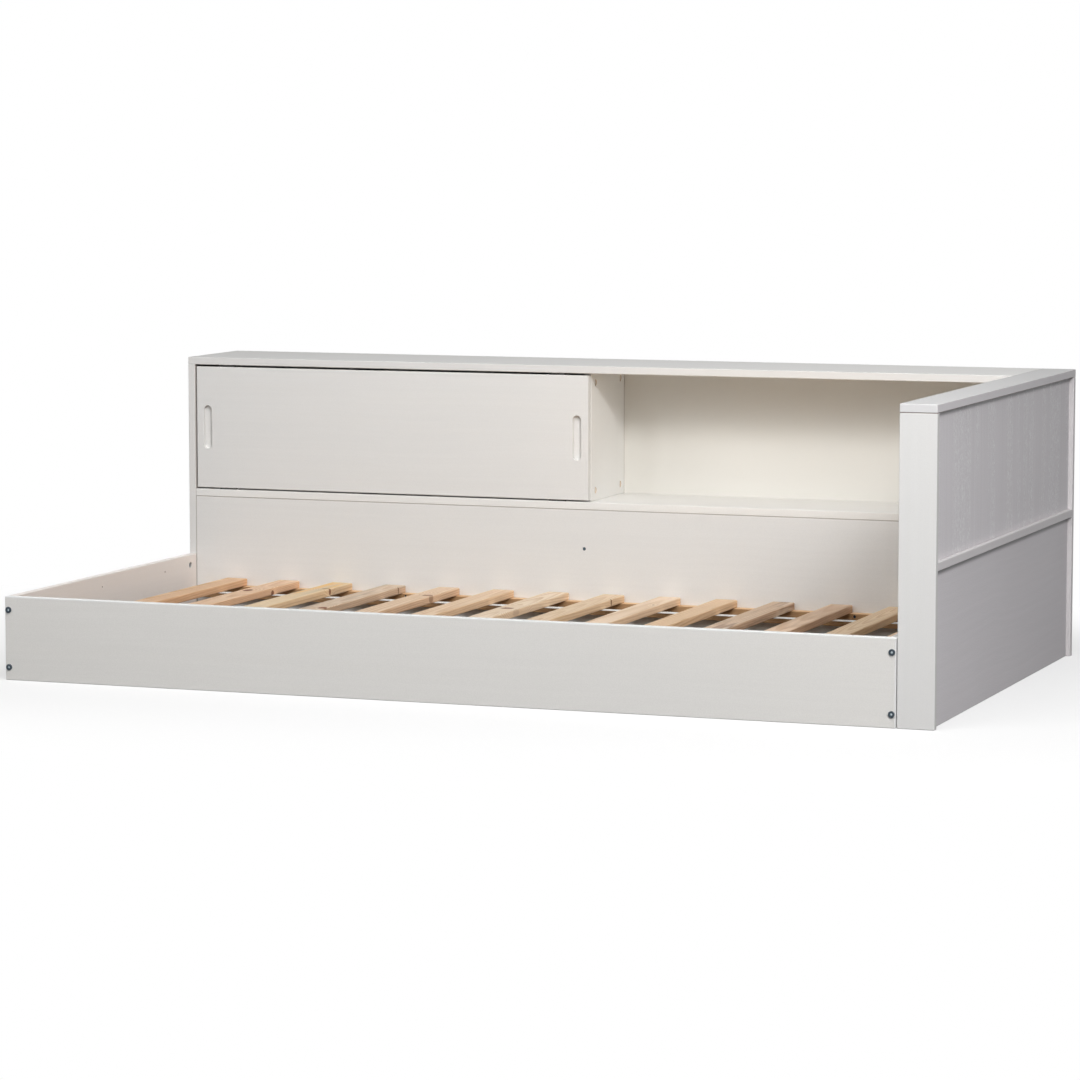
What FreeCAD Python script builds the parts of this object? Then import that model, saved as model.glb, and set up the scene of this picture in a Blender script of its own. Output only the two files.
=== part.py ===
import FreeCAD, Part
import math
import os
import re

import Sketcher

# Corner bed: a low bed box, a cabinet with a sliding door along its back and a hollow head unit.
# Lengths are in millimetres. Places are counted from the outer corner at the foot end, on the floor,
# and the whole bed is then centred: +X runs to the head end, +Y to the back and +Z up.

SIZES = {
    # Boards
    "board": 18.0,
    "edge_round": 1.8,
    # Bed box
    "well_length": 2008.0,
    "well_width": 930.0,
    "rail_height": 187.0,
    "pilot_bore": 4.0,
    "pilot_depth": 10.0,
    "pilot_height": 160.0,
    "pilot_rear_inset": 175.0,
    "pilot_pitch": 331.5,
    # Slatted base
    "ledger_top": 114.0,
    "ledger_height": 30.0,
    "ledger_depth": 25.0,
    "ledger_end_gap": 20.0,
    "slat_width": 54.0,
    "slat_thickness": 18.0,
    "slat_round": 3.2,
    "slat_end_gap": 4.0,
    "slat_foot_margin": 84.0,
    "slat_head_margin": 69.5,
    "tape_width": 26.0,
    "tape_thickness": 1.0,
    "tape_inset": 146.0,
    "staple_length": 10.0,
    "staple_wire": 1.2,
    # Cabinet
    "cabinet_depth": 282.0,
    "bed_height": 666.0,
    "shelf_height": 346.0,
    "back_inset": 15.0,
    "back_thickness": 12.0,
    "divider_shift": 1.0,
    # Sliding door
    "door_recess": 2.0,
    "door_side_gap": 3.5,
    "door_top_gap": 5.0,
    "door_bottom_gap": 3.5,
    "divider_gap": 4.0,
    "pull_width": 21.0,
    "pull_height": 105.0,
    "pull_depth": 10.0,
    "pull_inset": 29.0,
    "pull_round": 1.0,
    "groove_width": 6.0,
    "groove_depth": 6.0,
    "blade_play": 0.5,
    "blade_end_gap": 1.0,
    "glide_length": 40.0,
    "glide_width": 14.0,
    "glide_inset": 80.0,
    "glide_lift": 0.3,
    "peg_diameter": 6.0,
    "peg_length": 10.0,
    # Head unit
    "head_width": 80.0,
    "post_gap": 2.0,
    "post_thickness": 16.0,
    "panel_thickness": 12.0,
    "panel_recess": 10.5,
    "mid_rail_top": 343.0,
    # Fasteners
    "fit_play": 0.2,
    "bolt_diameter": 6.0,
    "bolt_head_diameter": 14.0,
    "bolt_head_height": 3.0,
    "bolt_head_round": 1.0,
    "bolt_socket": 5.0,
    "bolt_socket_depth": 2.2,
    "bolt_low": 29.0,
    "bolt_high": 157.0,
    "bolt_past_nut": 6.0,
    "nut_diameter": 10.0,
    "nut_length": 14.0,
    "nut_recess": 1.0,
    "nut_inset": 34.0,
    "slot_width": 1.6,
    "slot_depth": 1.5,
    "cam_diameter": 15.0,
    "cam_length": 10.5,
    "cam_recess": 3.4,
    "cam_cross": 9.0,
    "cam_bolt_diameter": 7.0,
    "cam_thread_diameter": 5.0,
    "cam_thread_length": 11.0,
    "rail_cam_inset": 34.0,
    "rail_cam_high": 162.0,
    "rail_cam_low": 34.0,
    "cabinet_cam_inset": 24.0,
    "cam_edge_inset": 28.0,
    "cam_bolt_end": 1.0,
    "cap_thickness": 0.8,
    "dowel_diameter": 8.0,
    "dowel_length": 30.0,
    "dowel_end_gap": 1.0,
    "dowel_seat": 10.0,
    "panel_dowel_inset": 250.0,
    "head_dowel_inset": 20.0,
    "screw_diameter": 4.0,
    "screw_head_diameter": 8.0,
    "screw_head_height": 2.5,
    "screw_bite": 12.0,
    "ledger_screw_sink": 8.0,
    "ledger_screw_drop": 7.0,
    "ledger_screw_foot": 190.0,
    "ledger_screw_head": 337.0,
    "centre_screw_height": 236.0,
    "centre_screw_sink": 0.5,
    "back_screw_inset": 120.0,
    "joint_bolt_inset": 150.0,
    "joint_bolt_low": 94.0,
    "joint_bolt_high": 500.0,
    "joint_nut_diameter": 8.0,
    "joint_nut_flange": 18.0,
    "joint_nut_lip": 1.5,
    "joint_nut_barrel": 9.0,
}

SLAT_COUNT = 14
LEDGER_SCREWS = 5

# Places and sizes that follow from the driving ones.
PLACES = {
    "box_length": "well_length + 2 * board",
    "head_left": "box_length + post_gap",
    "total_length": "head_left + head_width",
    "cabinet_front": "board + well_width",
    "total_depth": "cabinet_front + cabinet_depth",
    "under_top": "bed_height - board",
    "head_rail_left": "board + well_length",
    "shelf_bottom": "shelf_height - board",
    "back_front": "total_depth - back_inset - back_thickness",
    "cabinet_middle": "box_length / 2 + divider_shift",
    "well_middle": "cabinet_middle - board",
    "centre_left": "cabinet_middle - board / 2",
    "centre_right": "cabinet_middle + board / 2",
    "door_front": "cabinet_front + door_recess",
    "door_left": "board + door_side_gap",
    "door_width": "centre_right - door_left",
    "door_bottom": "shelf_height + door_bottom_gap",
    "door_height": "under_top - door_top_gap - door_bottom",
    "door_middle": "door_front + board / 2",
    "divider_front": "door_front + board + divider_gap",
    "divider_depth": "back_front - divider_front",
    "divider_height": "under_top - shelf_height",
    "inner_depth": "back_front - cabinet_front",
    "groove_front": "door_recess + board / 2 - groove_width / 2",
    "cam_front_row": "divider_front - cabinet_front + cam_edge_inset",
    "cam_back_row": "inner_depth - cam_edge_inset",
    "cam_bore": "cam_diameter + fit_play",
    "cam_seat": "cam_recess + cam_length",
    "cam_bolt_bore": "cam_bolt_diameter + fit_play",
    "cam_thread_bore": "cam_thread_diameter + fit_play",
    "cam_thread_seat": "cam_thread_length + fit_play",
    "bolt_bore": "bolt_diameter + fit_play",
    "bolt_reach": "nut_inset + bolt_past_nut",
    "nut_bore": "nut_diameter + fit_play",
    "nut_seat": "nut_recess + nut_length",
    "dowel_bore": "dowel_diameter + fit_play",
    "dowel_deep_bore": "dowel_length - dowel_seat + dowel_end_gap",
    "screw_bore": "screw_diameter + fit_play",
    "screw_head_bore": "screw_head_diameter + fit_play",
    "peg_bore": "peg_diameter + fit_play",
    "peg_seat": "peg_length + dowel_end_gap",
    "glide_height": "door_bottom_gap - glide_lift",
    "blade_thickness": "groove_width - 2 * blade_play",
    "blade_depth": "groove_depth - blade_end_gap",
    "slat_pitch": f"(well_length - slat_foot_margin - slat_head_margin - slat_width) / {SLAT_COUNT - 1}",
    "slat_length": "well_width - 2 * slat_end_gap",
    "first_slat": "board + slat_foot_margin",
    "tape_front": "board + slat_end_gap + tape_inset - tape_width / 2",
    "tape_back": "cabinet_front - slat_end_gap - tape_inset - tape_width / 2",
    "ledger_bottom": "ledger_top - ledger_height",
    "ledger_screw_height": "ledger_top - ledger_screw_drop",
    "ledger_screw_pitch": f"(well_length - ledger_screw_foot - ledger_screw_head) / {LEDGER_SCREWS - 1}",
    "outer_panel_left": "total_length - panel_recess - panel_thickness",
    "mid_rail_bottom": "mid_rail_top - board",
    "inner_thickness": "post_gap + panel_thickness",
    "head_core_left": "head_left + panel_thickness",
    "mid_rail_width": "head_width - panel_thickness",
    "core_width": "mid_rail_width - panel_recess - panel_thickness",
    "upper_panel_height": "under_top - mid_rail_top",
    "between_posts": "total_depth - 2 * post_thickness",
    "rear_post_front": "total_depth - post_thickness",
    "post_middle": "post_thickness / 2",
    "joint_nut_bore": "joint_nut_diameter + fit_play",
}

# Rows of cam locks behind the cabinet's front, and the shelf's screws along the back panel.
CAM_ROWS = ("cam_front_row", "cam_back_row")
SHELF_SCREWS = (
    "back_screw_inset",
    "well_length / 2 - back_screw_inset",
    "well_length / 2 + back_screw_inset",
    "well_length - back_screw_inset",
)

DOC = FreeCAD.newDocument("corner_bed")
SHEET = DOC.addObject("Spreadsheet::Sheet", "Sizes")
SPANS = {}
SUBPARTS = []

# How each face of a board is reached: origin plane, axis across it, sign of the plane's offset,
# and whether a cut from that face runs along the plane's normal.
FACES = {
    "left": ("YZ_Plane", None, True),
    "right": ("YZ_Plane", (0, 1), False),
    "front": ("XZ_Plane", None, False),
    "back": ("XZ_Plane", (1, -1), True),
    "bottom": ("XY_Plane", None, True),
    "top": ("XY_Plane", (2, 1), False),
}

X_AXIS = FreeCAD.Vector(1, 0, 0)
Y_AXIS = FreeCAD.Vector(0, 1, 0)
Z_AXIS = FreeCAD.Vector(0, 0, 1)


def fill_sheet():
    """Write every driving dimension into its own named cell."""
    for row, (name, value) in enumerate(SIZES.items(), start=1):
        SHEET.set(f"A{row}", name)
        SHEET.set(f"B{row}", str(value))
        SHEET.setAlias(f"B{row}", name)
    DOC.recompute()


def formula(text):
    """Turn plain size names into a formula on the sheet's cells."""
    def cell(match):
        word = match.group(0)
        if word in PLACES:
            return f"({formula(PLACES[word])})"
        return f"{SHEET.Name}.{word}"
    return re.sub(r"[a-z_]+", cell, str(text))


def bind(thing, prop, text):
    thing.setExpression(prop, formula(text))


def turned(x_way, z_way):
    """Rotation that sends a template's X and Z axes along the two given directions."""
    return FreeCAD.Rotation(x_way, z_way.cross(x_way), z_way, "ZXY")


def place(thing, corner, rotation=None):
    """Put a piece at a place counted from the foot-end corner of the centred bed."""
    if rotation:
        thing.Placement = FreeCAD.Placement(FreeCAD.Vector(), rotation)
    bind(thing, "Placement.Base.x", f"{corner[0]} - total_length / 2")
    bind(thing, "Placement.Base.y", f"{corner[1]} - (total_depth - bolt_head_height) / 2")
    bind(thing, "Placement.Base.z", corner[2])


def origin_plane(body, role):
    return next(plane for plane in body.Origin.OriginFeatures if plane.Role == role)


def new_sketch(body, role):
    sketch = body.newObject("Sketcher::SketchObject", f"{body.Name}_sketch")
    sketch.AttachmentSupport = [(origin_plane(body, role), "")]
    sketch.MapMode = "FlatFace"
    return sketch


def set_size(sketch, constraint, name, text):
    """Add a named dimension to a sketch and bind it to a formula."""
    label = f"{name}_{sketch.ConstraintCount}"
    index = sketch.addConstraint(constraint)
    sketch.renameConstraint(index, label)
    bind(sketch, f"Constraints.{label}", text)


def draw_rectangle(sketch, low, size):
    """Rectangle from its low corner and its two sizes, all formulas."""
    first = sketch.GeometryCount
    corners = [(1, 1), (2, 1), (2, 2), (1, 2)]
    points = [FreeCAD.Vector(x, y, 0) for x, y in corners]
    for start, end in zip(points, points[1:] + points[:1]):
        sketch.addGeometry(Part.LineSegment(start, end))
    bottom, right, top, left = range(first, first + 4)
    for side, following in ((bottom, right), (right, top), (top, left), (left, bottom)):
        sketch.addConstraint(Sketcher.Constraint("Coincident", side, 2, following, 1))
    for side in (bottom, top):
        sketch.addConstraint(Sketcher.Constraint("Horizontal", side))
    for side in (left, right):
        sketch.addConstraint(Sketcher.Constraint("Vertical", side))
    set_size(sketch, Sketcher.Constraint("DistanceX", -1, 1, bottom, 1, 1), "low_x", low[0])
    set_size(sketch, Sketcher.Constraint("DistanceY", -1, 1, bottom, 1, 1), "low_y", low[1])
    set_size(sketch, Sketcher.Constraint("DistanceX", bottom, 1, bottom, 2, 1), "wide", size[0])
    set_size(sketch, Sketcher.Constraint("DistanceY", right, 1, right, 2, 1), "high", size[1])


def draw_circle(sketch, centre, diameter):
    circle = sketch.addGeometry(Part.Circle(FreeCAD.Vector(1, 1, 0), Z_AXIS, 1))
    set_size(sketch, Sketcher.Constraint("DistanceX", -1, 1, circle, 3, 1), "across", centre[0])
    set_size(sketch, Sketcher.Constraint("DistanceY", -1, 1, circle, 3, 1), "along", centre[1])
    set_size(sketch, Sketcher.Constraint("Diameter", circle, 2), "diameter", diameter)


def draw_upright_slot(sketch, centre, width, height):
    """Slot with round ends, its long way up the sketch."""
    first = sketch.GeometryCount
    upper_end = Part.Circle(FreeCAD.Vector(2, 4, 0), Z_AXIS, 1)
    lower_end = Part.Circle(FreeCAD.Vector(2, 2, 0), Z_AXIS, 1)
    sketch.addGeometry(Part.ArcOfCircle(upper_end, 0, math.pi))
    sketch.addGeometry(Part.LineSegment(FreeCAD.Vector(1, 4, 0), FreeCAD.Vector(1, 2, 0)))
    sketch.addGeometry(Part.ArcOfCircle(lower_end, math.pi, 2 * math.pi))
    sketch.addGeometry(Part.LineSegment(FreeCAD.Vector(3, 2, 0), FreeCAD.Vector(3, 4, 0)))
    upper, left, lower, right = range(first, first + 4)
    for side, following in ((upper, left), (left, lower), (lower, right), (right, upper)):
        sketch.addConstraint(Sketcher.Constraint("Tangent", side, 2, following, 1))
    for side in (left, right):
        sketch.addConstraint(Sketcher.Constraint("Vertical", side))
    set_size(sketch, Sketcher.Constraint("DistanceX", -1, 1, lower, 3, 2), "across", centre[0])
    set_size(sketch, Sketcher.Constraint("DistanceY", -1, 1, lower, 3, 2), "along",
             f"{centre[1]} - ({height} - {width}) / 2")
    set_size(sketch, Sketcher.Constraint("DistanceY", lower, 3, upper, 3, 2), "span", f"{height} - {width}")
    set_size(sketch, Sketcher.Constraint("Radius", lower, 1), "radius", f"{width} / 2")


def new_body(label):
    body = DOC.addObject("PartDesign::Body", label)
    body.Label = label
    return body


def soften(body, base, radius, edges=None):
    """Round all edges of a feature, or only those that are named."""
    fillet = body.newObject("PartDesign::Fillet", f"{body.Name}_round")
    fillet.Base = (base, edges or [""])
    fillet.UseAllEdges = edges is None
    bind(fillet, "Radius", radius)
    return fillet


def block(body, size, radius=None):
    """Rectangular blank of a board, with softened edges where it has a radius."""
    sketch = new_sketch(body, "XY_Plane")
    draw_rectangle(sketch, ("0", "0"), size[:2])
    pad = body.newObject("PartDesign::Pad", f"{body.Name}_blank")
    pad.Profile = sketch
    bind(pad, "Length", size[2])
    SPANS[body.Name] = size
    if radius:
        DOC.recompute()
        soften(body, pad, radius)


def cut(body, face, depth, draw, shapes):
    """Cut shapes into one face of a board to a depth."""
    role, offset, along_normal = FACES[face]
    sketch = new_sketch(body, role)
    for shape in shapes:
        draw(sketch, *shape)
    if offset:
        axis, sign = offset
        bind(sketch, "AttachmentOffset.Base.z", f"{sign} * ({SPANS[body.Name][axis]})")
    pocket = body.newObject("PartDesign::Pocket", f"{body.Name}_cut")
    pocket.Profile = sketch
    pocket.Reversed = along_normal
    bind(pocket, "Length", depth)
    before = body.Shape.Volume
    DOC.recompute()
    if body.Shape.Volume >= before:
        raise ValueError(f"the cut in the {face} face of {body.Label} removes nothing")
    return pocket


def drill(body, face, diameter, depth, centres):
    cut(body, face, depth, draw_circle, [(centre, diameter) for centre in centres])


def board(label, corner, size, radius="edge_round"):
    """Finished board at its place: lower corner and sizes along X, Y and Z."""
    body = new_body(label)
    block(body, size, radius)
    place(body, corner)
    SUBPARTS.append(body)
    DOC.recompute()
    return body


def round_feature(body, kind, diameter, length):
    feature = body.newObject(f"PartDesign::{kind}", f"{body.Name}_round_bar")
    feature.AttachmentSupport = [(origin_plane(body, "XY_Plane"), "")]
    feature.MapMode = "FlatFace"
    bind(feature, "Radius", f"({diameter}) / 2")
    bind(feature, "Height", length)
    return feature


def rod(body, diameter, length, start="0"):
    """Round bar of a template, upwards from a height on its axis."""
    bar = round_feature(body, "AdditiveCylinder", diameter, length)
    bind(bar, "AttachmentOffset.Base.z", start)
    DOC.recompute()
    return bar


def bore(body, diameter, length, start="0"):
    """Round hole of a template, upwards from a height on its axis."""
    hole = round_feature(body, "SubtractiveCylinder", diameter, length)
    bind(hole, "AttachmentOffset.Base.z", start)
    DOC.recompute()


def cross_bore(body, diameter, length, start, height):
    """Round hole across a template, along its X axis at a height."""
    hole = round_feature(body, "SubtractiveCylinder", diameter, length)
    hole.AttachmentOffset = FreeCAD.Placement(FreeCAD.Vector(), FreeCAD.Rotation(Z_AXIS, X_AXIS))
    bind(hole, "AttachmentOffset.Base.x", start)
    bind(hole, "AttachmentOffset.Base.z", height)
    DOC.recompute()


def group(label, template, spots):
    """One sub-part of several equal pieces: a link to the template at each spot."""
    links = []
    for number, (corner, rotation) in enumerate(spots, start=1):
        link = DOC.addObject("App::Link", f"{label}_{number:02d}")
        link.LinkedObject = template
        link.LinkTransform = False
        place(link, corner, rotation)
        links.append(link)
    compound = DOC.addObject("Part::Compound", label)
    compound.Label = label
    compound.Links = links
    SUBPARTS.append(compound)
    DOC.recompute()
    return compound


def ledger_screw_places():
    return [f"ledger_screw_foot + {number} * ledger_screw_pitch" for number in range(LEDGER_SCREWS)]


def bed_box():
    """Front rail and two end rails, bolted at the front and cam-locked to the cabinet."""
    front = board("front_rail", ("0", "0", "0"), ("box_length", "board", "rail_height"))
    heights = ("bolt_low", "bolt_high")
    ends = ("board / 2", "box_length - board / 2")
    drill(front, "front", "bolt_bore", "board", [(end, height) for end in ends for height in heights])
    drill(front, "back", "screw_bore", "screw_bite",
          [(f"board + {across}", "ledger_screw_height") for across in ledger_screw_places()])
    for label, left, inner in (("foot_rail", "0", "right"), ("head_rail", "head_rail_left", "left")):
        rail = board(label, (left, "board", "0"), ("board", "well_width", "rail_height"))
        drill(rail, "front", "bolt_bore", "bolt_reach + fit_play",
              [("board / 2", height) for height in heights])
        drill(rail, inner, "nut_bore", "nut_seat", [("nut_inset", height) for height in heights])
        cam_heights = ("rail_cam_low", "rail_cam_high")
        drill(rail, "back", "cam_bolt_bore", "rail_cam_inset",
              [("board / 2", height) for height in cam_heights])
        drill(rail, inner, "cam_bore", "cam_seat",
              [("well_width - rail_cam_inset", height) for height in cam_heights])
        pilots = ("well_width - pilot_rear_inset", "well_width - pilot_rear_inset - pilot_pitch")
        drill(rail, inner, "pilot_bore", "pilot_depth", [(pilot, "pilot_height") for pilot in pilots])
        if label == "head_rail":
            joints = ("joint_bolt_inset", "well_width - joint_bolt_inset")
            drill(rail, inner, "bolt_bore", "board", [(joint, "joint_bolt_low") for joint in joints])


def slatted_base():
    """Ledgers, slats, the two tapes that space the slats and their staples."""
    size = ("well_length - 2 * ledger_end_gap", "ledger_depth", "ledger_height")
    rows = (("front_ledger", "board", "back"), ("rear_ledger", "cabinet_front - ledger_depth", "front"))
    centres = [(f"{across} - ledger_end_gap", "ledger_height - ledger_screw_drop")
               for across in ledger_screw_places()]
    for label, front, open_face in rows:
        ledger = board(label, ("board + ledger_end_gap", front, "ledger_bottom"), size)
        drill(ledger, open_face, "screw_bore", "ledger_depth", centres)
        drill(ledger, open_face, "screw_head_bore", "ledger_screw_sink", centres)
    for number in range(SLAT_COUNT):
        corner = (f"first_slat + {number} * slat_pitch", "board + slat_end_gap", "ledger_top")
        board(f"slat_{number + 1:02d}", corner, ("slat_width", "slat_length", "slat_thickness"), "slat_round")
    run = f"{SLAT_COUNT - 1} * slat_pitch + slat_width"
    for label, front in (("front_tape", "tape_front"), ("rear_tape", "tape_back")):
        board(label, ("first_slat", front, "ledger_top - tape_thickness"),
              (run, "tape_width", "tape_thickness"), None)
    staple = new_body("staple_shape")
    block(staple, ("staple_length", "staple_wire", "staple_wire"))
    spots = []
    for front in ("tape_front", "tape_back"):
        for number in range(SLAT_COUNT):
            spots.append(((f"first_slat + {number} * slat_pitch + (slat_width - staple_length) / 2",
                           f"{front} + (tape_width - staple_wire) / 2",
                           "ledger_top - tape_thickness - staple_wire"), None))
    group("tape_staples", staple, spots)


def cabinet_ends():
    """End panels of the cabinet, drilled for the end rails, the top and the shelf."""
    size = ("board", "cabinet_depth", "under_top")
    left = board("cabinet_left_panel", ("0", "cabinet_front", "0"), size)
    right = board("cabinet_right_panel", ("head_rail_left", "cabinet_front", "0"), size)
    rail_cams = [("board / 2", height) for height in ("rail_cam_low", "rail_cam_high")]
    for panel, inner in ((left, "right"), (right, "left")):
        drill(panel, "front", "cam_thread_bore", "cam_thread_seat", rail_cams)
        drill(panel, "top", "cam_bolt_bore", "cabinet_cam_inset", [("board / 2", row) for row in CAM_ROWS])
        drill(panel, inner, "cam_bore", "cam_seat",
              [(row, "under_top - cabinet_cam_inset") for row in CAM_ROWS])
        drill(panel, inner, "cam_thread_bore", "cam_thread_seat",
              [(row, "shelf_height - board / 2") for row in CAM_ROWS])
    joints = [("cabinet_depth / 2", height) for height in ("joint_bolt_low", "joint_bolt_high")]
    drill(right, "left", "bolt_bore", "board", joints)


def cabinet_levels():
    """Top board and shelf, each with a groove for the sliding door."""
    groove_size = ("well_length", "groove_width")
    top = board("cabinet_top", ("0", "cabinet_front", "under_top"), ("head_left", "cabinet_depth", "board"))
    uprights = ("board / 2", "cabinet_middle", "box_length - board / 2")
    drill(top, "bottom", "cam_thread_bore", "cam_thread_seat",
          [(upright, row) for upright in uprights for row in CAM_ROWS])
    cut(top, "bottom", "groove_depth", draw_rectangle, [(("board", "groove_front"), groove_size)])

    shelf = board("cabinet_shelf", ("board", "cabinet_front", "shelf_bottom"),
                  ("well_length", "inner_depth", "board"))
    cut(shelf, "top", "groove_depth", draw_rectangle, [(("0", "groove_front"), groove_size)])
    drill(shelf, "top", "cam_thread_bore", "cam_thread_seat", [("well_middle", row) for row in CAM_ROWS])
    for end, inset in (("left", "cabinet_cam_inset"), ("right", "well_length - cabinet_cam_inset")):
        drill(shelf, end, "cam_bolt_bore", "cabinet_cam_inset", [(row, "board / 2") for row in CAM_ROWS])
        drill(shelf, "bottom", "cam_bore", "cam_seat", [(inset, row) for row in CAM_ROWS])
    drill(shelf, "bottom", "dowel_bore", "dowel_seat", panel_dowel_places())
    drill(shelf, "back", "screw_bore", "screw_bite", [(across, "board / 2") for across in SHELF_SCREWS])


def cabinet_uprights():
    """Lower panel, divider, centre support and back panel."""
    lower = board("lower_panel", ("board", "cabinet_front", "0"), ("well_length", "board", "shelf_bottom"))
    drill(lower, "top", "dowel_bore", "dowel_deep_bore", panel_dowel_places())
    centre = [("well_middle", "centre_screw_height")]
    drill(lower, "front", "screw_bore", "board", centre)
    drill(lower, "front", "screw_head_bore", "screw_head_height + centre_screw_sink", centre)
    drill(lower, "front", "screw_bore", "screw_bite",
          [(across, "ledger_screw_height") for across in ledger_screw_places()])

    divider = board("cabinet_divider", ("centre_left", "divider_front", "shelf_height"),
                    ("board", "divider_depth", "divider_height"))
    rows = ("cam_edge_inset", "divider_depth - cam_edge_inset")
    for end, height in (("bottom", "cabinet_cam_inset"), ("top", "divider_height - cabinet_cam_inset")):
        drill(divider, end, "cam_bolt_bore", "cabinet_cam_inset", [("board / 2", row) for row in rows])
        drill(divider, "right", "cam_bore", "cam_seat", [(row, height) for row in rows])
    drill(divider, "back", "screw_bore", "screw_bite", [("board / 2", "divider_height / 2")])

    support = board("centre_support", ("centre_left", "cabinet_front + board", "0"),
                    ("board", "inner_depth - board", "shelf_bottom"))
    drill(support, "front", "screw_bore", "screw_bite", [("board / 2", "centre_screw_height")])
    drill(support, "back", "screw_bore", "screw_bite", [("board / 2", "shelf_bottom / 2")])

    back = board("cabinet_back_panel", ("board", "back_front", "0"),
                 ("well_length", "back_thickness", "under_top"))
    drill(back, "back", "screw_bore", "back_thickness", back_screw_places())
    drill(back, "back", "screw_head_bore", "screw_head_height", back_screw_places())


def panel_dowel_places():
    """Dowels between the lower panel and the shelf: along the panel and across its thickness."""
    return [(across, "board / 2") for across in ("panel_dowel_inset", "well_length - panel_dowel_inset")]


def back_screw_places():
    """Screws of the back panel: four into the shelf, one into the divider, one into the support."""
    on_shelf = [(across, "shelf_height - board / 2") for across in SHELF_SCREWS]
    return on_shelf + [("well_middle", "shelf_height + divider_height / 2"),
                       ("well_middle", "shelf_bottom / 2")]


def sliding_door():
    """Door with two routed finger pulls, its glides in the shelf's groove and guides in the top's."""
    door = board("sliding_door", ("door_left", "door_front", "door_bottom"),
                 ("door_width", "board", "door_height"))
    pulls = ("pull_inset", "door_width - pull_inset")
    pocket = cut(door, "front", "pull_depth", draw_upright_slot,
                 [((pull, "door_height / 2"), "pull_width", "pull_height") for pull in pulls])
    soften(door, pocket, "pull_round", slot_mouths(pocket.Shape))
    DOC.recompute()
    pegs = ("glide_inset", "door_width - glide_inset")
    for face in ("bottom", "top"):
        drill(door, face, "peg_bore", "peg_seat", [(peg, "board / 2") for peg in pegs])

    glide = new_body("glide_shape")
    block(glide, ("glide_length", "glide_width", "glide_height"))
    raise_from(glide, "0", "blade_depth + glide_lift", draw_rectangle, True,
               ("0", "(glide_width - blade_thickness) / 2"), ("glide_length", "blade_thickness"))
    raise_from(glide, "glide_height", "peg_length", draw_circle, False,
               ("glide_length / 2", "glide_width / 2"), "peg_diameter")
    guide = new_body("guide_shape")
    block(guide, ("glide_length", "blade_thickness", "door_top_gap + blade_depth"))
    raise_from(guide, "0", "peg_length", draw_circle, True,
               ("glide_length / 2", "blade_thickness / 2"), "peg_diameter")
    lefts = [f"door_left + {peg} - glide_length / 2" for peg in pegs]
    group("door_glides", glide,
          [((left, "door_middle - glide_width / 2", "shelf_height + glide_lift"), None) for left in lefts])
    guide_front = "door_middle - blade_thickness / 2"
    group("door_guides", guide,
          [((left, guide_front, "door_bottom + door_height"), None) for left in lefts])


def slot_mouths(shape):
    """Names of the edges round the slots in a board's front face."""
    front = shape.BoundBox.YMin
    inside = shape.BoundBox.ZLength / 2
    return [f"Edge{number}" for number, edge in enumerate(shape.Edges, start=1)
            if abs(edge.BoundBox.YMin - front) + abs(edge.BoundBox.YMax - front) < 1e-4
            and edge.BoundBox.ZLength < inside and edge.BoundBox.XLength < inside]


def raise_from(body, height, length, draw, downward, *shape):
    """Pad a shape up or down from a height on a template."""
    sketch = new_sketch(body, "XY_Plane")
    draw(sketch, *shape)
    bind(sketch, "AttachmentOffset.Base.z", height)
    pad = body.newObject("PartDesign::Pad", f"{body.Name}_raised")
    pad.Profile = sketch
    pad.Reversed = downward
    bind(pad, "Length", length)
    DOC.recompute()


def head_unit():
    """Hollow head end on two posts: a cap, a middle rail and panels set back from the outer face.

    The inner panel stands proud of the posts, so only it touches the bed.
    """
    cap = board("head_cap", ("head_left", "0", "under_top"), ("head_width", "total_depth", "board"))
    cap_dowels = ("head_dowel_inset", "head_width - head_dowel_inset")
    drill(cap, "bottom", "dowel_bore", "dowel_seat",
          [(dowel, post) for dowel in cap_dowels for post in ("post_middle", "total_depth - post_middle")])
    posts = (("head_front_post", "0", "back"), ("head_rear_post", "rear_post_front", "front"))
    for label, front, inner in posts:
        post = board(label, ("head_left", front, "0"), ("head_width", "post_thickness", "under_top"))
        drill(post, "top", "dowel_bore", "dowel_deep_bore", [(dowel, "post_middle") for dowel in cap_dowels])
        drill(post, inner, "dowel_bore", "dowel_seat",
              [("panel_thickness + mid_rail_width / 2", "mid_rail_bottom + board / 2"),
               ("panel_thickness + core_width / 2", "board / 2")])

    rails = (("head_mid_rail", "mid_rail_bottom", "mid_rail_width"), ("head_bottom_rail", "0", "core_width"))
    for label, bottom, width in rails:
        rail = board(label, ("head_core_left", "post_thickness", bottom), (width, "between_posts", "board"))
        for end in ("front", "back"):
            drill(rail, end, "dowel_bore", "dowel_deep_bore", [(f"{width} / 2", "board / 2")])

    outer = (("head_lower_panel", "0", "mid_rail_bottom"),
             ("head_upper_panel", "mid_rail_top", "upper_panel_height"))
    for label, bottom, height in outer:
        board(label, ("outer_panel_left", "post_thickness", bottom),
              ("panel_thickness", "between_posts", height))
    inner = board("head_inner_panel", ("box_length", "post_thickness", "0"),
                  ("inner_thickness", "between_posts", "under_top"))
    drill(inner, "left", "joint_nut_bore", "inner_thickness",
          [(f"{depth} - post_thickness", height) for depth, height in joint_bolt_places()])


def joint_bolt_places():
    """Depth and height of the bolts between the bed and the head unit."""
    return [
        ("board + joint_bolt_inset", "joint_bolt_low"),
        ("cabinet_front - joint_bolt_inset", "joint_bolt_low"),
        ("cabinet_front + cabinet_depth / 2", "joint_bolt_low"),
        ("cabinet_front + cabinet_depth / 2", "joint_bolt_high"),
    ]


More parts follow.
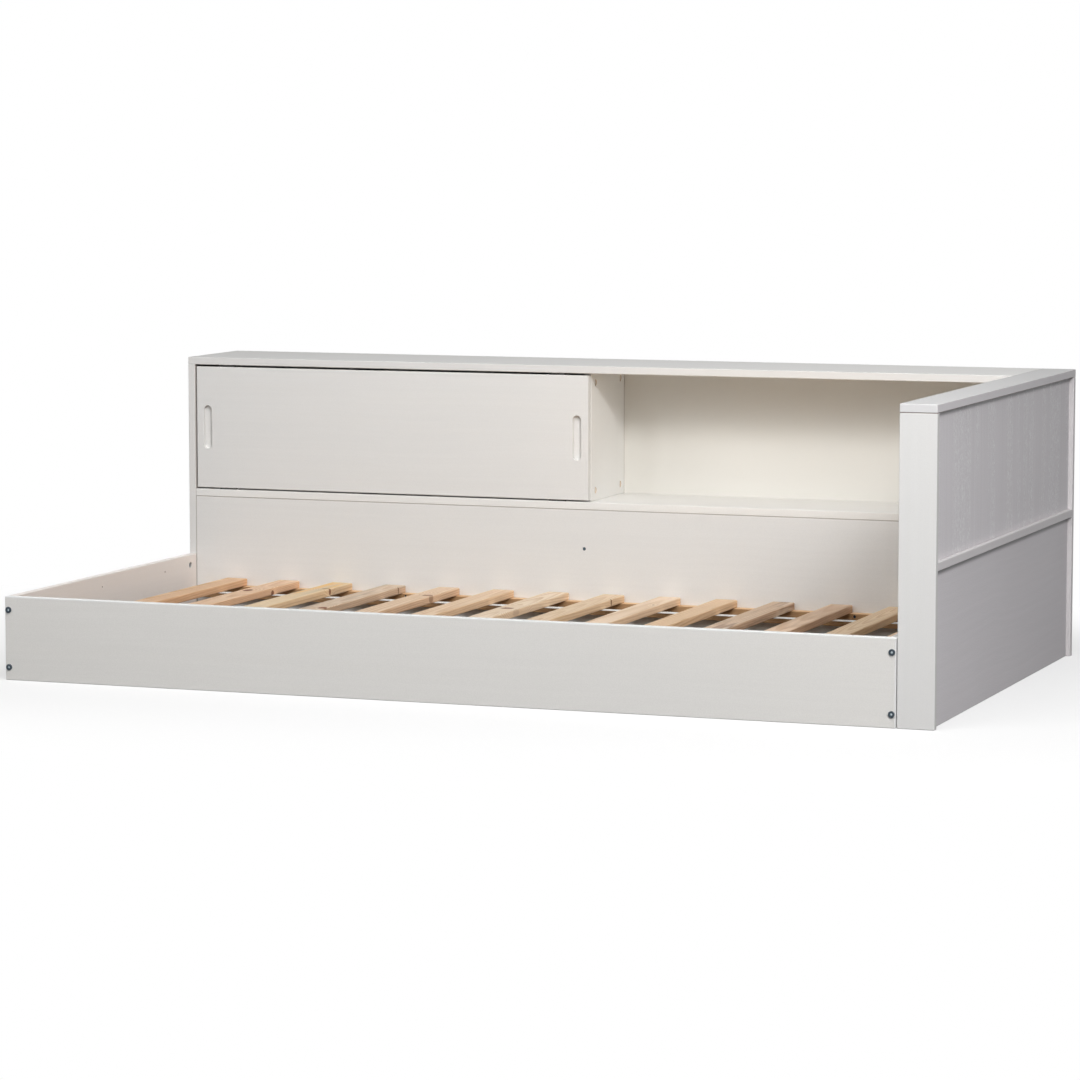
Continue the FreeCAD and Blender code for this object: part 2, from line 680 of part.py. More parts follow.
def socket_bolt(label, length):
    """Bolt with a low round head and a hexagon socket: the shank runs up, the head hangs below."""
    bolt = new_body(label)
    head = rod(bolt, "bolt_head_diameter", "bolt_head_height", "-bolt_head_height")
    rims = [f"Edge{number}" for number, edge in enumerate(head.Shape.Edges, start=1)
            if edge.Closed and edge.BoundBox.ZMax < head.Shape.BoundBox.Center.z]
    soften(bolt, head, "bolt_head_round", rims)
    DOC.recompute()
    rod(bolt, "bolt_diameter", length)
    sketch = new_sketch(bolt, "XY_Plane")
    corners = [FreeCAD.Vector(math.cos(k * math.pi / 3), math.sin(k * math.pi / 3), 0) for k in range(6)]
    for start, end in zip(corners, corners[1:] + corners[:1]):
        sketch.addGeometry(Part.LineSegment(start, end))
    for side in range(6):
        sketch.addConstraint(Sketcher.Constraint("Coincident", side, 2, (side + 1) % 6, 1))
    circle = sketch.addGeometry(Part.Circle(FreeCAD.Vector(), Z_AXIS, 1), True)
    sketch.addConstraint(Sketcher.Constraint("Coincident", circle, 3, -1, 1))
    for side in range(6):
        sketch.addConstraint(Sketcher.Constraint("PointOnObject", side, 1, circle))
    for side in range(5):
        sketch.addConstraint(Sketcher.Constraint("Equal", side, side + 1))
    sketch.addConstraint(Sketcher.Constraint("PointOnObject", 0, 1, -1))
    set_size(sketch, Sketcher.Constraint("Radius", circle, 1), "corner", f"bolt_socket / {math.sqrt(3)}")
    bind(sketch, "AttachmentOffset.Base.z", "-bolt_head_height")
    pocket = bolt.newObject("PartDesign::Pocket", f"{label}_socket")
    pocket.Profile = sketch
    pocket.Reversed = True
    bind(pocket, "Length", "bolt_socket_depth")
    DOC.recompute()
    return bolt


def headed_screw(label, length):
    """Flat-headed screw: the shank runs up, the slotted head hangs below."""
    screw = new_body(label)
    rod(screw, "screw_head_diameter", "screw_head_height", "-screw_head_height")
    rod(screw, "screw_diameter", length)
    slot(screw, "screw_head_diameter", "-screw_head_height", up=True)
    return screw


def slot(body, length, height, up):
    """Driver slot across the end of a round piece, placed about its axis."""
    sketch = new_sketch(body, "XY_Plane")
    draw_rectangle(sketch, ("0", "0"), (length, "slot_width"))
    bind(sketch, "AttachmentOffset.Base.x", f"-({length}) / 2")
    bind(sketch, "AttachmentOffset.Base.y", "-slot_width / 2")
    bind(sketch, "AttachmentOffset.Base.z", height)
    pocket = body.newObject("PartDesign::Pocket", f"{body.Name}_slot")
    pocket.Profile = sketch
    pocket.Reversed = up
    bind(pocket, "Length", "slot_depth")
    before = body.Shape.Volume
    DOC.recompute()
    if body.Shape.Volume >= before:
        raise ValueError(f"the slot in {body.Label} removes nothing")


def front_bolts():
    """Bolts through the front rail into barrel nuts in the end rails."""
    into_rail = turned(X_AXIS, Y_AXIS)
    bolt = socket_bolt("front_bolt_shape", "board + bolt_reach")
    lefts = ("board / 2", "box_length - board / 2")
    heights = ("bolt_low", "bolt_high")
    group("front_bolts", bolt, [((left, "0", height), into_rail) for left in lefts for height in heights])
    nut = new_body("barrel_nut_shape")
    rod(nut, "nut_diameter", "nut_length", "-nut_length")
    cross_bore(nut, "bolt_bore", "nut_diameter", "-nut_diameter / 2", "nut_recess - board / 2")
    slot(nut, "nut_diameter", "0", up=False)
    depth = "board + nut_inset"
    foot_face = ("board - nut_recess", turned(Y_AXIS, X_AXIS))
    head_face = ("head_rail_left + nut_recess", turned(Y_AXIS, -X_AXIS))
    group("barrel_nuts", nut, [((left, depth, height), way) for left, way in (foot_face, head_face)
                               for height in heights])


def cam_locks():
    """Cam locks, the bolts that they draw in and the caps over the divider's cams."""
    cam = new_body("cam_shape")
    rod(cam, "cam_diameter", "cam_length", "-cam_length")
    cross_bore(cam, "cam_bolt_bore", "cam_diameter", "-cam_bolt_end", "cam_recess - board / 2")
    for turn in (False, True):
        cross_slot(cam, turn)

    left_face = "board - cam_recess"
    right_face = "head_rail_left + cam_recess"
    divider_face = "centre_right - cam_recess"
    under_shelf = "shelf_bottom + cam_recess"
    rows = [f"cabinet_front + {row}" for row in CAM_ROWS]
    high, low = "under_top - cabinet_cam_inset", "shelf_height + cabinet_cam_inset"
    cams = []
    for height in ("rail_cam_low", "rail_cam_high"):
        depth = "cabinet_front - rail_cam_inset"
        cams.append(((left_face, depth, height), turned(Y_AXIS, X_AXIS)))
        cams.append(((right_face, depth, height), turned(Y_AXIS, -X_AXIS)))
    for row in rows:
        cams.append(((left_face, row, high), turned(Z_AXIS, X_AXIS)))
        cams.append(((right_face, row, high), turned(Z_AXIS, -X_AXIS)))
        cams.append(((divider_face, row, high), turned(Z_AXIS, X_AXIS)))
        cams.append(((divider_face, row, low), turned(-Z_AXIS, X_AXIS)))
        cams.append((("board + cabinet_cam_inset", row, under_shelf), turned(-X_AXIS, -Z_AXIS)))
        cams.append((("head_rail_left - cabinet_cam_inset", row, under_shelf), turned(X_AXIS, -Z_AXIS)))
    group("cam_locks", cam, cams)

    cap = new_body("cam_cap_shape")
    rod(cap, "cam_diameter", "cap_thickness")
    group("cam_caps", cap, [((divider_face, row, height), turned(Y_AXIS, X_AXIS))
                            for row in rows for height in (high, low)])
    cam_bolts(rows)


def cam_bolts(rows):
    """Bolts of the cam locks: a long kind in the rails and a short kind in the cabinet."""
    uprights = ("board / 2", "cabinet_middle", "box_length - board / 2")
    long_bolt = cam_bolt("rail_cam_bolt_shape", "rail_cam_inset")
    group("rail_cam_bolts", long_bolt, [
        ((left, "cabinet_front", height), turned(X_AXIS, Y_AXIS))
        for left in (uprights[0], uprights[2]) for height in ("rail_cam_low", "rail_cam_high")])
    short_bolt = cam_bolt("cabinet_cam_bolt_shape", "cabinet_cam_inset")
    shelf_middle = "shelf_height - board / 2"
    spots = []
    for row in rows:
        for left in uprights:
            spots.append(((left, row, "under_top"), turned(X_AXIS, Z_AXIS)))
        spots.append((("cabinet_middle", row, "shelf_height"), turned(X_AXIS, -Z_AXIS)))
        spots.append((("board", row, shelf_middle), turned(Y_AXIS, -X_AXIS)))
        spots.append((("head_rail_left", row, shelf_middle), turned(Y_AXIS, X_AXIS)))
    group("cabinet_cam_bolts", short_bolt, spots)


def cam_bolt(label, inset):
    """Bolt whose thread goes up into one board and whose shank hangs down into a cam."""
    bolt = new_body(label)
    rod(bolt, "cam_thread_diameter", "cam_thread_length")
    rod(bolt, "cam_bolt_diameter", inset, f"-({inset})")
    return bolt


def cross_slot(body, turn):
    """One bar of a cross recess in a cam's face."""
    sketch = new_sketch(body, "XY_Plane")
    bar = ("slot_width", "cam_cross") if turn else ("cam_cross", "slot_width")
    draw_rectangle(sketch, ("0", "0"), bar)
    bind(sketch, "AttachmentOffset.Base.x", f"-{bar[0]} / 2")
    bind(sketch, "AttachmentOffset.Base.y", f"-{bar[1]} / 2")
    pocket = body.newObject("PartDesign::Pocket", f"{body.Name}_cross")
    pocket.Profile = sketch
    bind(pocket, "Length", "slot_depth")
    DOC.recompute()


def dowels():
    """Wooden dowels in the cabinet and in the head unit."""
    dowel = new_body("dowel_shape")
    rod(dowel, "dowel_diameter", "dowel_length", "dowel_seat - dowel_end_gap - dowel_length")
    group("panel_dowels", dowel, [((f"board + {across}", f"cabinet_front + {depth}", "shelf_bottom"), None)
                                  for across, depth in panel_dowel_places()])
    lefts = ("head_left + head_dowel_inset", "total_length - head_dowel_inset")
    depths = ("post_middle", "total_depth - post_middle")
    spots = [((left, depth, "under_top"), None) for left in lefts for depth in depths]
    rails = (("head_core_left + mid_rail_width / 2", "mid_rail_bottom + board / 2"),
             ("head_core_left + core_width / 2", "board / 2"))
    for left, height in rails:
        spots.append(((left, "post_thickness", height), turned(X_AXIS, -Y_AXIS)))
        spots.append(((left, "rear_post_front", height), turned(X_AXIS, Y_AXIS)))
    group("head_dowels", dowel, spots)


def screws():
    """Screws of the ledgers, of the lower panel's middle and of the back panel."""
    to_back = turned(X_AXIS, Y_AXIS)
    to_front = turned(X_AXIS, -Y_AXIS)
    ledger_screw = headed_screw("ledger_screw_shape",
                                "ledger_depth - ledger_screw_sink + screw_bite - fit_play")
    spots = []
    for across in ledger_screw_places():
        left = f"board + {across}"
        rear_head = "cabinet_front - ledger_depth + ledger_screw_sink"
        front_head = "board + ledger_depth - ledger_screw_sink"
        spots.append(((left, rear_head, "ledger_screw_height"), to_back))
        spots.append(((left, front_head, "ledger_screw_height"), to_front))
    group("ledger_screws", ledger_screw, spots)

    head_seat = "screw_head_height + centre_screw_sink"
    centre = headed_screw("centre_screw_shape", f"board - ({head_seat}) + screw_bite - fit_play")
    group("centre_screw", centre,
          [(("cabinet_middle", f"cabinet_front + {head_seat}", "centre_screw_height"), to_back)])

    back = headed_screw("back_screw_shape", "back_thickness - screw_head_height + screw_bite - fit_play")
    head_plane = "back_front + back_thickness - screw_head_height"
    group("back_screws", back, [((f"board + {across}", head_plane, height), to_front)
                                for across, height in back_screw_places()])


def joint_bolts():
    """Bolts and flanged nuts that hold the head unit to the bed."""
    to_head = turned(Y_AXIS, X_AXIS)
    bolt = socket_bolt("joint_bolt_shape", "board + inner_thickness")
    group("joint_bolts", bolt, [(("head_rail_left", depth, height), to_head)
                                for depth, height in joint_bolt_places()])
    nut = new_body("joint_nut_shape")
    rod(nut, "joint_nut_diameter", "joint_nut_barrel", "-joint_nut_barrel")
    rod(nut, "joint_nut_flange", "joint_nut_lip")
    bore(nut, "bolt_bore", "joint_nut_barrel + joint_nut_lip", "-joint_nut_barrel")
    group("joint_nuts", nut, [(("head_core_left", depth, height), to_head)
                              for depth, height in joint_bolt_places()])


def check_document():
    """Stop if any object of the document failed or any sub-part is not a sound solid."""
    for thing in DOC.Objects:
        if {"Invalid", "Error"} & set(thing.State):
            raise ValueError(f"{thing.Label} failed: {thing.State}")
    for piece in SUBPARTS:
        if piece.Shape.isNull() or not piece.Shape.isValid() or not piece.Shape.Solids:
            raise ValueError(f"{piece.Label} has no sound solid")


def write_parts():
    os.makedirs("parts", exist_ok=True)
    for piece in SUBPARTS:
        piece.Shape.exportStep(f"parts/{piece.Label}.step")


fill_sheet()
bed_box()
slatted_base()
cabinet_ends()
cabinet_levels()
cabinet_uprights()
sliding_door()
head_unit()
front_bolts()
cam_locks()
dowels()
screws()
joint_bolts()
DOC.recompute()
check_document()
write_parts()
print(f"{len(SUBPARTS)} sub-parts written")
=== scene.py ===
import math
import random

import bmesh
import bpy
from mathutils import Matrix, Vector


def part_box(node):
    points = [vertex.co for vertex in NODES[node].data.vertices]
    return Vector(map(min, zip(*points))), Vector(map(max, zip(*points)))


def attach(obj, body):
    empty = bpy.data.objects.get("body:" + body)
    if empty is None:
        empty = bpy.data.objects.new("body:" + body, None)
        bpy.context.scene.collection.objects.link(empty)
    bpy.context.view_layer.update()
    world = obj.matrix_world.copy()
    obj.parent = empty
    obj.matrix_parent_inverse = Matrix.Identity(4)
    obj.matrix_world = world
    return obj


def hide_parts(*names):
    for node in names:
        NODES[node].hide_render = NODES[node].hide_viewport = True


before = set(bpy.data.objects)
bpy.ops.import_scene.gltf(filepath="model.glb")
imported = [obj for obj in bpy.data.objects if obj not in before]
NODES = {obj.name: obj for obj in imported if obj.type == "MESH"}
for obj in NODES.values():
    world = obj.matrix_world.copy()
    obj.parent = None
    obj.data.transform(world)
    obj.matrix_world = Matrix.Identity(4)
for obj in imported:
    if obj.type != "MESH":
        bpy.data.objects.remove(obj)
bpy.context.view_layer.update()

# Corner bed in white painted board with a raw pine slatted base. All lengths are in metres.
# Colours of three values are on an 8-bit screen scale.

# Axes of the bed, also used for the way that the wood runs in each board.
ALONG_BED = 0
ACROSS_BED = 1
UPRIGHT = 2

SLATS = sorted(name for name in NODES if name.startswith("slat_"))
ZINC_NODES = ("centre_screw", "ledger_screws", "back_screws", "joint_bolts", "joint_nuts",
              "barrel_nuts", "cam_locks", "rail_cam_bolts", "cabinet_cam_bolts", "tape_staples")

PAINT_WHITE = (229, 228, 226)
# White tinted mauve and darker for the shade on the head's right side: painted shade.
PAINTED_SHADE_WHITE = (227, 223, 224)
# Painted highlight on rounded edges.
PAINTED_EDGE_HIGHLIGHT = (234, 235, 235)
# Dark lines in the joints: dust and painted shade.
DUST_AND_SHADE = (118, 98, 84)
# Painted shadow under an overhang.
PAINTED_SHADOW_UNDER_OVERHANG = (60, 54, 52)
FLECK_GREY = (120, 116, 112)
COARSE_FLECKS = (400.0, 0.10)
BARE_WOOD = (206, 172, 138)
# Bare wood darkened for the shade in small holes: bare wood and painted shade.
BARE_WOOD_IN_SHADE = (118, 84, 66)
KNOT_DARK = (84, 42, 26)
KNOT_PALE = (150, 92, 60)

# Tints multiplied onto the narrow side faces of the pine: the first makes them darker and redder,
# the second is painted light that brightens them, the third is painted shade that darkens them.
RED_EDGE = (1.0, 0.90, 0.82, 1.0)
PAINTED_LIGHT_SIDES = (1.1, 1.03, 0.94, 1.0)
SHADED_EDGE = (0.62, 0.54, 0.46, 1.0)

# Blind bores that show bare wood: their radius, and their places across the bed and up.
DIVIDER_BORE_RADIUS = 0.0076
DIVIDER_BORES = [(0, across, up) for across in (0.3865, 0.5615) for up in (0.370, 0.624)]
RAIL_BORE_RADIUS = 0.0022
RAIL_BORES = [(0, across, 0.160) for across in (0.1595, -0.172)]

WEFT_PITCH = 0.0016
WARP_PITCH = 0.0011
SELVEDGE_RADIUS = 0.00045

BED_MIDDLE = (0.1, 0.3, 0.4)
BED_LOW = (0.1, 0.3, 0.3)
NEUTRAL = (1.0, 1.0, 1.0)
WARM = (1.0, 0.64, 0.3)
# Lamps: name, place, aim, width and height, power in watts, and tint.
LAMPS = (
    ("left_softbox", (-0.95, -2.5, 1.77), BED_MIDDLE, (0.45, 0.45), 12.0, NEUTRAL),
    ("left_fill", (-3.5, -4.0, 2.5), BED_MIDDLE, (2.4, 2.4), 50.0, NEUTRAL),
    ("right_softbox", (3.2, -4.2, 3.35), BED_MIDDLE, (1.0, 1.0), 112.0, NEUTRAL),
    ("right_far_softbox", (6.0, -7.0, 5.05), BED_MIDDLE, (1.7, 1.7), 155.0, NEUTRAL),
    ("right_low_softbox", (2.4, -2.0, 1.5), BED_MIDDLE, (0.8, 0.8), 11.0, NEUTRAL),
    ("high_softbox", (0.9, -1.6, 3.6), BED_LOW, (2.0, 1.5), 50.0, NEUTRAL),
    ("high_front_softbox", (0.5, -2.6, 3.2), BED_LOW, (2.0, 1.5), 18.0, NEUTRAL),
    ("niche_fill", (0.42, 0.0, 0.33), (0.42, 0.05, 1.0), (0.7, 0.3), 0.55, WARM),
    ("back_softbox", (-1.6, 5.0, 0.40), (-0.2, 0.6, 0.38), (5.0, 0.5), 100.0, NEUTRAL),
)

FLOOR_HALF = 40.0
SHADOW_EDGE = (1.07, 0.62, 0.0)
SHADOW_FADE = 0.9

SENSOR_MM = 36.0
LENS_MM = 133.15
CAMERA_PLACE = (3.1399, -8.4323, 1.2370)
CAMERA_TILT = 84.0
CAMERA_TURN = 20.575
CAMERA_REACH = 200.0


class Finish:
    """A node material under construction, with short calls for the nodes that are used here."""

    def __init__(self, name):
        self.material = bpy.data.materials.new(name)
        self.material.use_nodes = True
        self.tree = self.material.node_tree
        self.tree.nodes.clear()
        self.output = self.tree.nodes.new("ShaderNodeOutputMaterial")
        self.shader = self.tree.nodes.new("ShaderNodeBsdfPrincipled")
        self.link(self.shader.outputs["BSDF"], self.output.inputs["Surface"])
        self.place = self.tree.nodes.new("ShaderNodeTexCoord").outputs["Object"]

    def link(self, source, target):
        self.tree.links.new(source, target)

    def put(self, target, value):
        """Set a socket to a number or colour, or link it to another node's result."""
        if isinstance(value, bpy.types.NodeSocket):
            self.link(value, target)
        else:
            target.default_value = value

    def shift(self, vector, location=(0, 0, 0), scale=(1, 1, 1)):
        node = self.tree.nodes.new("ShaderNodeMapping")
        self.link(vector, node.inputs["Vector"])
        node.inputs["Location"].default_value = location
        node.inputs["Scale"].default_value = scale
        return node.outputs["Vector"]

    def noise(self, vector, scale, detail, roughness=0.5, distortion=0.0):
        node = self.tree.nodes.new("ShaderNodeTexNoise")
        self.link(vector, node.inputs["Vector"])
        node.inputs["Scale"].default_value = scale
        node.inputs["Detail"].default_value = detail
        node.inputs["Roughness"].default_value = roughness
        node.inputs["Distortion"].default_value = distortion
        return node.outputs["Fac"]

    def drawn_out(self, vector, start, axis, along, across, *noise):
        """Noise drawn out along one axis, with its own scale along and across."""
        scale = [across, across, across]
        scale[axis] = along
        return self.noise(self.shift(vector, start, scale), 1.0, *noise)

    def math(self, operation, first, second=0.0, third=0.0):
        node = self.tree.nodes.new("ShaderNodeMath")
        node.operation = operation
        for socket, value in zip(node.inputs, (first, second, third)):
            self.put(socket, value)
        return node.outputs["Value"]

    def vector_math(self, operation, first, second=(0, 0, 0)):
        node = self.tree.nodes.new("ShaderNodeVectorMath")
        node.operation = operation
        self.put(node.inputs[0], first)
        self.put(node.inputs[1], second)
        return node.outputs["Value" if operation == "LENGTH" else "Vector"]

    def split(self, vector):
        node = self.tree.nodes.new("ShaderNodeSeparateXYZ")
        self.link(vector, node.inputs["Vector"])
        return node.outputs

    def spread(self, value, low, high, to_low=0.0, to_high=1.0):
        """Map a value from one range to another, held at the ends and eased between."""
        node = self.tree.nodes.new("ShaderNodeMapRange")
        node.interpolation_type = "SMOOTHSTEP"
        self.link(value, node.inputs["Value"])
        node.inputs["From Min"].default_value = low
        node.inputs["From Max"].default_value = high
        node.inputs["To Min"].default_value = to_low
        node.inputs["To Max"].default_value = to_high
        return node.outputs["Result"]

    def mix(self, amount, first, second, blend="MIX"):
        node = self.tree.nodes.new("ShaderNodeMix")
        node.data_type = "RGBA"
        node.blend_type = blend
        self.put(node.inputs["Factor"], amount)
        self.put(node.inputs["A"], first)
        self.put(node.inputs["B"], second)
        return node.outputs["Result"]

    def bump(self, height, distance):
        node = self.tree.nodes.new("ShaderNodeBump")
        self.link(height, node.inputs["Height"])
        node.inputs["Distance"].default_value = distance
        node.inputs["Strength"].default_value = 1.0
        self.link(node.outputs["Normal"], self.shader.inputs["Normal"])

    def surface(self, colour, roughness, **sockets):
        self.put(self.shader.inputs["Base Color"], colour)
        self.put(self.shader.inputs["Roughness"], roughness)
        for name, value in sockets.items():
            self.put(self.shader.inputs[name.replace("_", " ")], value)
        return self.material


def rgb(red, green, blue):
    """Colour from its values on an 8-bit screen scale."""
    def linear(value):
        share = value / 255
        return share / 12.92 if share <= 0.04045 else ((share + 0.055) / 1.055) ** 2.4
    return (linear(red), linear(green), linear(blue), 1.0)


def toned(colour, share):
    """A colour made darker or lighter by a share."""
    return tuple(min(1.0, value * share) for value in colour[:3]) + (1.0,)


def grain_of(finish, axis, seed):
    """Long wavy fibres along an axis, from 0 to 1."""
    start = (seed, seed * 0.37, seed * 1.7)
    wander = finish.noise(finish.shift(finish.place, start), 2.2, 2.0)
    drift = finish.math("MULTIPLY_ADD", wander, 0.03, -0.015)
    lean = [1.0, 1.0, 1.0]
    lean[axis] = 0.0
    moved = finish.vector_math("ADD", finish.place, finish.vector_math("MULTIPLY", drift, lean))
    return finish.drawn_out(moved, (seed, seed, seed), axis, 1.6, 95.0, 5.0, 0.62)


def shade_highlight_and_dust_lines(finish, colour, seams):
    """Lines along joints and edges: axis, place along it, half width, strength and tone of each."""
    # The lines are dust and painted shade in joints, painted shadow, painted highlights on edges
    # and painted shade on faces.
    sides = finish.split(finish.place)
    for axis, level, width, strength, tone in seams:
        away = finish.math("ABSOLUTE", finish.math("SUBTRACT", sides[axis], level))
        near = finish.spread(away, 0.2 * width, width, strength, 0.0)
        colour = finish.mix(near, colour, rgb(*tone))
    return colour


def raw_bores(finish, colour, face, radius, centres, tone):
    """Bare wood in the mouths of blind bores that run in along X from a right-hand face."""
    along = finish.split(finish.place)[ALONG_BED]
    inside = finish.math("MULTIPLY",
                         finish.spread(along, face - 0.0005, face - 0.0002, 1.0, 0.0),
                         finish.spread(along, face - 0.0022, face - 0.0018))
    for centre in centres:
        reach = finish.vector_math("SUBTRACT", finish.place, centre)
        reach = finish.vector_math("MULTIPLY", reach, (0, 1, 1))
        far = finish.vector_math("LENGTH", reach)
        near = finish.spread(far, radius, radius + 0.0004, 1.0, 0.0)
        colour = finish.mix(finish.math("MULTIPLY", near, inside), colour, rgb(*tone))
    return colour


def painted_board(name, axis, seed, white=PAINT_WHITE, relief=0.00007, streak=0.016, brushed=0.0,
                  flecks=(650.0, 0.035), seams=(), bores=None, top=None):
    """Satin white paint over pine board: the fibres show as faint streaks and shallow ridges.

    brushed adds light dashes, flecks is the scale and share of grey specks, and the last argument
    is the level of a flat top face and the painted shade laid on it.
    """
    finish = Finish(name)
    fibres = grain_of(finish, axis, seed)
    figure = finish.drawn_out(finish.place, (seed * 2, seed, seed * 3), axis, 0.9, 14.0,
                              3.0, 0.55, 0.6)
    cloud = finish.noise(finish.place, 3.5, 2.0)
    body = rgb(*white)
    warm = (body[0], body[1] * 0.985, body[2] * 0.965, 1.0)
    colour = finish.mix(finish.spread(fibres, 0.34, 0.68), toned(body, 1 - streak), body)
    colour = finish.mix(finish.spread(figure, 0.42, 0.75, 0.0, 0.15), colour, warm)
    height = finish.math("MULTIPLY_ADD", figure, 0.15, fibres)
    if brushed:
        dashes = finish.drawn_out(finish.place, (seed, seed, seed), axis, 140.0, 430.0, 2.0, 0.6)
        bands = finish.drawn_out(finish.place, (seed, 0.0, seed), axis, 1.2, 22.0, 2.0)
        marks = finish.math("MULTIPLY", finish.spread(dashes, 0.52, 0.64),
                            finish.spread(bands, 0.45, 0.62))
        colour = finish.mix(marks, colour, toned(body, 1 + brushed))
        height = finish.math("MULTIPLY_ADD", marks, 0.8, height)
    fleck_scale, fleck_share = flecks
    speckle = finish.noise(finish.place, fleck_scale, 2.0)
    colour = finish.mix(finish.spread(speckle, 0.35, 0.65, fleck_share, 0.0), colour,
                        rgb(*FLECK_GREY))
    # Painted shade on a flat top face.
    if top:
        level, shade = top
        up = finish.split(finish.place)[UPRIGHT]
        flat = finish.spread(up, level - 0.0004, level - 0.0001)
        colour = finish.mix(flat, colour, shade, "MULTIPLY")
    colour = shade_highlight_and_dust_lines(finish, colour, seams)
    if bores:
        colour = raw_bores(finish, colour, *bores)
    rough = finish.math("MULTIPLY_ADD", fibres, 0.16, 0.40)
    rough = finish.math("MULTIPLY_ADD", cloud, 0.06, rough)
    finish.bump(height, relief)
    return finish.surface(colour, rough, Specular_IOR_Level=0.3)


def smooth_board(name, white, seams):
    """Smooth lacquered back board: hardly any grain, a faint orange-peel skin."""
    finish = Finish(name)
    peel = finish.noise(finish.place, 420.0, 2.0)
    cloud = finish.noise(finish.place, 2.4, 3.0)
    body = rgb(*white)
    colour = finish.mix(finish.spread(cloud, 0.35, 0.7), toned(body, 0.97), body)
    colour = shade_highlight_and_dust_lines(finish, colour, seams)
    rough = finish.math("MULTIPLY_ADD", cloud, 0.1, 0.42)
    finish.bump(peel, 0.00003)
    return finish.surface(colour, rough, Specular_IOR_Level=0.4)


def pine(node, axis, early, late, ring=0.005, pith=(0.0, -0.05), lean=(0.0, 0.02), knots=(),
         stains=(), side_tint=RED_EDGE):
    """Planed raw pine: growth rings round a pith that runs along the piece, and round knots.

    early and late are the tones within a ring, ring is its width, pith and lean place the log's
    heart, and the last argument is the tint of the narrow side faces.
    """
    finish = Finish(f"pine_{node}")
    low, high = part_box(node)
    local = finish.shift(finish.place, -(low + high) / 2)
    seed = pith[0] * 90 + ring * 700
    start = (seed, seed, seed)
    side = ALONG_BED if axis == ACROSS_BED else ACROSS_BED
    parts = finish.split(local)
    wander = finish.drawn_out(local, start, axis, 1.4, 8.0, 2.0)
    across = finish.math("MULTIPLY_ADD", parts[axis], lean[0], parts[side])
    across = finish.math("MULTIPLY_ADD", wander, 0.02, across)
    across = finish.math("SUBTRACT", across, pith[0] + 0.01)
    depth = finish.math("MULTIPLY_ADD", parts[axis], lean[1], parts[UPRIGHT])
    depth = finish.math("SUBTRACT", depth, pith[1])
    square = finish.math("MULTIPLY", depth, depth)
    radius = finish.math("SQRT", finish.math("MULTIPLY_ADD", across, across, square))
    heart = None
    for centre, reach, pushed, share in knots:
        offset = finish.vector_math("SUBTRACT", finish.place, centre)
        far = finish.vector_math("LENGTH", finish.vector_math("DIVIDE", offset, reach))
        radius = finish.math("ADD", radius, finish.spread(far, 0.8, 5.0, pushed * ring, 0.0))
        spot = finish.spread(far, 0.7, 1.15, share, 0.0)
        heart = spot if heart is None else finish.math("MAXIMUM", heart, spot)
    fibres = finish.drawn_out(local, start, axis, 6.0, 460.0, 4.0, 0.6)
    turn = finish.math("MULTIPLY_ADD", fibres, 0.25, finish.math("DIVIDE", radius, ring))
    turn = finish.math("FRACT", turn)
    band = finish.math("MULTIPLY", finish.spread(turn, 0.25, 0.85),
                       finish.spread(turn, 0.9, 1.0, 1.0, 0.0))
    amount = finish.math("MULTIPLY", band, finish.spread(wander, 0.3, 0.7, 0.45, 0.95))
    colour = finish.mix(amount, rgb(*early), rgb(*late))
    colour = finish.mix(finish.spread(fibres, 0.42, 0.78, 0.0, 0.3), colour,
                        rgb(*[value * 0.86 for value in late]))
    for tone, share, number, level in stains:
        blot = finish.drawn_out(local, (number, seed, number), axis, 3.0, 36.0, 3.0)
        stained = finish.spread(blot, level, level + 0.12, 0.0, share)
        colour = finish.mix(stained, colour, rgb(*tone))
    # Tint on the narrow side faces: darker and redder by default, painted light on some slats,
    # painted shade on the ledgers.
    edge = (high - low)[side] / 2
    side_faces = finish.spread(finish.math("ABSOLUTE", parts[side]), edge - 0.0012, edge - 0.0002)
    colour = finish.mix(side_faces, colour, side_tint, "MULTIPLY")
    if heart is not None:
        core = finish.noise(local, 300.0, 3.0)
        brown = finish.mix(core, rgb(*KNOT_DARK), rgb(*KNOT_PALE))
        colour = finish.mix(heart, colour, brown)
    rough = finish.math("MULTIPLY_ADD", fibres, 0.22, 0.5)
    finish.bump(finish.math("MULTIPLY_ADD", band, -0.5, fibres), 0.00016)
    return finish.surface(colour, rough, Specular_IOR_Level=0.25)


def zinc(name, tone):
    """Bright zinc plate gone blue-grey, with fine turning marks and a dull bloom."""
    finish = Finish(name)
    bloom = finish.noise(finish.place, 900.0, 3.0)
    marks = finish.drawn_out(finish.place, (0, 0, 0), ACROSS_BED, 300.0, 3000.0, 2.0)
    body = rgb(*tone)
    colour = finish.mix(bloom, toned(body, 0.6), body)
    rough = finish.math("MULTIPLY_ADD", bloom, 0.2, 0.28)
    finish.bump(marks, 0.00002)
    return finish.surface(colour, rough, Metallic=1.0)


